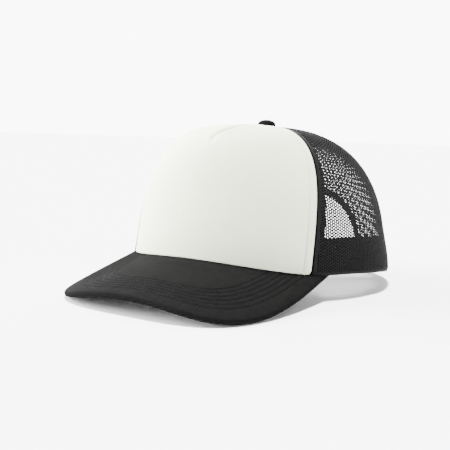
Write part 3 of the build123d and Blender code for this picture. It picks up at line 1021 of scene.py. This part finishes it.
def make_visor_stitching(materials):
    thread = Shape()
    psi = visor_columns(0.8)
    for sign, share, start, _, _ in visor_covers.values():
        for row in range(row_count):
            inset = first_row_inset + row * row_pitch
            shown = psi[inset_to_crown(psi, -1.0) > inset]
            x, y = visor_outline(shown, inset)
            relief = visor_relief(np.full_like(x, inset)) * share
            surface, normal = visor_surface(x, y)
            path = surface + normal * (sign * (relief + thread_lift) - start)[..., None]
            add_stitches(thread, path, normal * sign, spacing=2.9, length=2.4, radius=0.24)
    thread.piece("visor_stitches", materials["black"], "black_thread", ["visor_stitching"])


# ---------------------------------------------------------------- snap straps

strap_bevel, strap_cut_spacing = 0.32, 1.5
# rise above the strap and distance from the hole, round the lip of a hole
lip_profile = ((0.62, 0.42), (0.82, 0.55), (0.88, 0.85), (0.82, 1.15), (0.62, 1.3))


def outline_curve(loops):
    curve = bpy.data.curves.new("outline", "CURVE")
    curve.dimensions = "2D"
    curve.fill_mode = "BOTH"
    for loop in loops:
        spline = curve.splines.new("POLY")
        spline.points.add(len(loop) - 1)
        spline.points.foreach_set("co", np.array([(x, y, 0, 1) for x, y in loop]).ravel())
        spline.use_cyclic_u = True
    return curve


def flat_plate(loops, thickness):
    """A plate with bevelled edges from flat outlines, cut across so that it can bend."""
    curve = outline_curve(loops)
    curve.bevel_depth, curve.bevel_resolution = strap_bevel, 3
    curve.extrude = thickness / 2 - strap_bevel
    curve.offset = -strap_bevel
    holder = bpy.data.objects.new("outline", curve)
    mesh = bpy.data.meshes.new_from_object(holder)
    work = bmesh.new()
    work.from_mesh(mesh)
    bmesh.ops.remove_doubles(work, verts=work.verts, dist=0.004)
    low = min(vert.co.x for vert in work.verts)
    high = max(vert.co.x for vert in work.verts)
    for cut in np.arange(low + strap_cut_spacing, high, strap_cut_spacing):
        geometry = work.verts[:] + work.edges[:] + work.faces[:]
        bmesh.ops.bisect_plane(work, geom=geometry, dist=1e-4, plane_co=(cut, 0, 0),
                               plane_no=(1, 0, 0))
    bmesh.ops.triangulate(work, faces=[face for face in work.faces if len(face.verts) > 4])
    points = np.array([vert.co[:] for vert in work.verts])
    faces = [[vert.index for vert in face.verts] for face in work.faces]
    work.free()
    bpy.data.objects.remove(holder)
    bpy.data.curves.remove(curve)
    bpy.data.meshes.remove(mesh)
    return points, faces


def ring(arc, radius, height, count):
    """Points round a hole or peg of a flat strap: arc, height up the strap, distance outward."""
    return [(arc + radius * cos(turn), strap_height / 2 + radius * sin(turn), height)
            for turn in round_turn(count)]


def strap_outline(tip, end):
    """Outline of a strap from its sewn end to its rounded tip, along X."""
    sign = 1 if tip > end else -1
    quarter = [step * pi / 24 for step in range(13)]
    low = [(sin(turn), strap_tip_radius * (1 - cos(turn))) for turn in quarter]
    high = [(cos(turn), strap_height - strap_tip_radius * (1 - sin(turn))) for turn in quarter]
    rounded = [(tip - sign * strap_tip_radius * (1 - reach), y) for reach, y in low + high]
    return rounded + [(end, strap_height), (end, 0.0)]


def bent(points, depth, thickness):
    """Flat strap points laid along the back of the rim: arc, height and distance outward."""
    theta = pi - points[:, 0] / rim_half_length
    climb = climb_at(theta, points[:, 1] + strap_clearance)
    return crown_point(theta, climb, depth + thickness / 2 - points[:, 2])


def add_lip(strap, arc, depth):
    """The raised lip round a hole."""
    count, around = len(lip_profile), 32
    rings = np.array([ring(arc, hole_radius + grow, rise, around) for rise, grow in lip_profile])
    faces = grid_faces(count, around, closed=True)
    last = (count - 1) * around
    faces += [[last + k, last + (k + 1) % around, (k + 1) % around, k] for k in range(around)]
    points = rings.reshape(-1, 3)
    strap.add(bent(points, depth, strap_thickness), faces, points[:, :2])


def add_peg(strap, arc, depth):
    """A snap peg with a rounded head, standing out from the strap."""
    base, stem, head = strap_thickness / 2 - 0.05, peg_radius - 0.15, peg_radius + 0.25
    profile = [(stem + 0.5, 0.0), (stem + 0.12, 0.22), (stem, 0.5), (stem, peg_length - 1.0),
               (head, peg_length - 0.75), (head + 0.03, peg_length - 0.55),
               (head - 0.15, peg_length - 0.25), (head - 0.55, peg_length - 0.07),
               (head * 0.45, peg_length)]
    rings = np.array([ring(arc, radius, base + height, 24) for radius, height in profile])
    laid = bent(rings.reshape(-1, 3), depth, strap_thickness).reshape(rings.shape)
    add_rings(strap, laid, rings[..., :2])


def make_strap(materials, name, tip, end, depth, holes, pegs, nodes):
    """A strap, from an end that is sewn to the cap."""
    cut_out = [[point[:2] for point in ring(arc, hole_radius, 0.0, 40)] for arc in holes]
    plate, faces = flat_plate([strap_outline(tip, end)] + cut_out, strap_thickness)
    strap = Shape()
    strap.add(bent(plate, depth, strap_thickness), faces, plate[:, :2])
    for arc in holes:
        add_lip(strap, arc, depth)
    for arc in pegs:
        add_peg(strap, arc, depth)
    made = strap.piece(name, materials["plastic"], "strap_plastic", nodes, body=None)
    sign = 1 if end > tip else -1
    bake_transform(made)
    thread = Shape()
    for offset in (1.5, 8.5):
        heights = np.linspace(1.0, strap_height - 1.0, 40)
        row = np.stack([np.full(40, sign * (tab_arc - offset)), heights,
                        np.full(40, -strap_thickness / 2)], -1)
        path = bent(row, depth, strap_thickness)
        below = bent(row + (0, 0, -0.5), depth, strap_thickness)
        add_stitches(thread, path, unit(below - path), spacing=2.8, length=2.3, radius=0.26)
    thread.piece(name + "_stitches", materials["black"], "black_thread")


def make_straps(materials):
    holes = [-outer_strap_tip + snap_end_margin + snap_pitch * k for k in range(snap_count)]
    pegs = [inner_strap_tip - snap_end_margin - snap_pitch * k for k in range(snap_count)]
    make_strap(materials, "outer_snap_strap", -outer_strap_tip, tab_arc, outer_strap_depth, holes,
               [], ["outer_strap", "outer_strap_tab"])
    make_strap(materials, "inner_snap_strap", inner_strap_tip, -tab_arc, inner_strap_depth, [],
               pegs, ["inner_strap", "inner_strap_tab"])


# ---------------------------------------------------------------- button


def make_button(materials):
    """Fabric drawn over a domed shell, with soft gathers round its edge and the hem turned under."""
    base, around = crown_height + button_gap, 72
    turn = round_turn(around)
    dome = [(sin(k * pi / 36), cos(k * pi / 36)) for k in range(1, 18)]
    profile = [(button_radius * s**0.92, base + 0.55 + (button_height - 0.55) * c**0.85) for s, c in dome]
    profile += [(button_radius, base + 0.45), (button_radius - 0.12, base + 0.15),
                (button_radius - 0.5, base), (button_radius - 1.2, base + 0.1),
                (button_radius - 1.4, base + 0.9), (button_radius * 0.45, base + 1.9)]
    rings = []
    for radius, height in profile:
        gather = 1 + 0.012 * np.sin(turn * 12 + 0.6) * smooth((radius - 4.0) / 2.6)
        rings.append(np.stack([radius * gather * np.cos(turn), pole_y + radius * gather * np.sin(turn),
                               np.full(around, height)], -1))
    rings = np.array(rings)
    button = Shape()
    add_rings(button, rings, rings[..., :2])
    button.piece("button_cloth", materials["button"], "button_fabric", ["button_shell"])


# ---------------------------------------------------------------- studio and camera

camera_azimuth, camera_elevation, camera_roll = 30.5108, 7.2167, 1.6276
camera_distance = 530.1
camera_shift = (-26.330, -19.466)
aim = np.array([0.0, crown_centre_y, 57.18])
camera_lens = 55.74
floor_reach = 30.0  # metres
# for each sun: the direction towards it, its spread in degrees and its strength
suns = {"overhead": ((-0.12, 0.12, 1.0), 10.0, 17.5), "left": ((-1.0, -0.25, 0.25), 50.0, 21.5)}
horizon_light, overhead_share = 1.3, 0.28  # strength level with the cap, and its share from above
bright_side, backdrop_gain = (-0.7, 0.714, 0.0), 7.5  # where the lit backdrop is, how much brighter


def make_camera():
    azimuth, elevation, roll = (radians(v) for v in (camera_azimuth, camera_elevation, camera_roll))
    back = np.array([sin(azimuth) * cos(elevation), -cos(azimuth) * cos(elevation), sin(elevation)])
    level = np.array([cos(azimuth), sin(azimuth), 0.0])
    right = cos(roll) * level + sin(roll) * np.cross(back, level)
    up = np.cross(back, right)
    place = aim + camera_shift[0] * right + camera_shift[1] * up + camera_distance * back
    data = bpy.data.cameras.new("camera")
    data.lens, data.sensor_width = camera_lens, 36.0
    camera = bpy.data.objects.new("camera", data)
    turned = Matrix(np.stack([right, up, back], -1).tolist()).to_4x4()
    camera.matrix_world = Matrix.Translation(Vector(place * MM)) @ turned
    bpy.context.scene.collection.objects.link(camera)
    bpy.context.scene.camera = camera


def add_sun(name, toward, spread, strength):
    """Soft light of one direction: a vector from the cap to the light."""
    data = bpy.data.lights.new(name, "SUN")
    data.angle, data.energy = radians(spread), strength
    light = bpy.data.objects.new(name, data)
    light.location = Vector(toward)
    light.rotation_mode = "QUATERNION"
    light.rotation_quaternion = Vector(toward).to_track_quat("Z", "Y")
    bpy.context.scene.collection.objects.link(light)


def make_floor():
    mesh = bpy.data.meshes.new("studio_floor")
    corners = [(x * floor_reach, y * floor_reach, 0) for x, y in ((-1, -1), (1, -1), (1, 1), (-1, 1))]
    mesh.from_pydata(corners, [], [(0, 1, 2, 3)])
    material, tree, main = shader("studio_floor", 1.0, specular=0.0)
    two_tones(tree, main, noise(tree, 3.0, 2.0), grey(0.93), grey(0.94))
    mesh.materials.append(material)
    floor = bpy.data.objects.new("studio_floor", mesh)
    bpy.context.scene.collection.objects.link(floor)


def make_world():
    """A white room, brightest round the horizon and on the side of a lit backdrop."""
    world = bpy.data.worlds.new("studio")
    world.use_nodes = True
    tree = world.node_tree
    direction = node(tree, "TexCoord").outputs["Generated"]
    height = node(tree, "SeparateXYZ", {"Vector": direction}).outputs["Z"]
    room = ramp(tree, height, grey(1.0), grey(overhead_share))
    facing = node(tree, "VectorMath", {0: direction, 1: bright_side}, operation="DOT_PRODUCT")
    side = node(tree, "MapRange", {"Value": facing.outputs["Value"], "From Min": 0.2, "From Max": 0.8,
                                   "To Min": 1.0, "To Max": backdrop_gain},
                interpolation_type="SMOOTHSTEP")
    lit = node(tree, "VectorMath", {0: room, "Scale": side.outputs["Result"]}, operation="SCALE")
    background = tree.nodes["Background"]
    tree.links.new(lit.outputs["Vector"], background.inputs["Color"])
    background.inputs["Strength"].default_value = horizon_light
    bpy.context.scene.world = world


def make_studio():
    make_floor()
    make_world()
    for name, (toward, spread, strength) in suns.items():
        add_sun(name, toward, spread, strength)


# ---------------------------------------------------------------- the whole cap

materials = make_materials()
make_camera()
make_front_panel(materials)
make_front_foam(materials)
make_front_topstitching(materials)
make_mesh_panels(materials)
make_tapes(materials)
make_arch_binding(materials)
make_sweatband(materials)
make_label(materials)
make_visor_board(materials)
make_visor_covers(materials)
make_visor_stitching(materials)
make_straps(materials)
make_button(materials)
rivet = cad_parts["button_rivet"].data
rivet.materials.clear()
rivet.materials.append(materials["metal"])
make_studio()
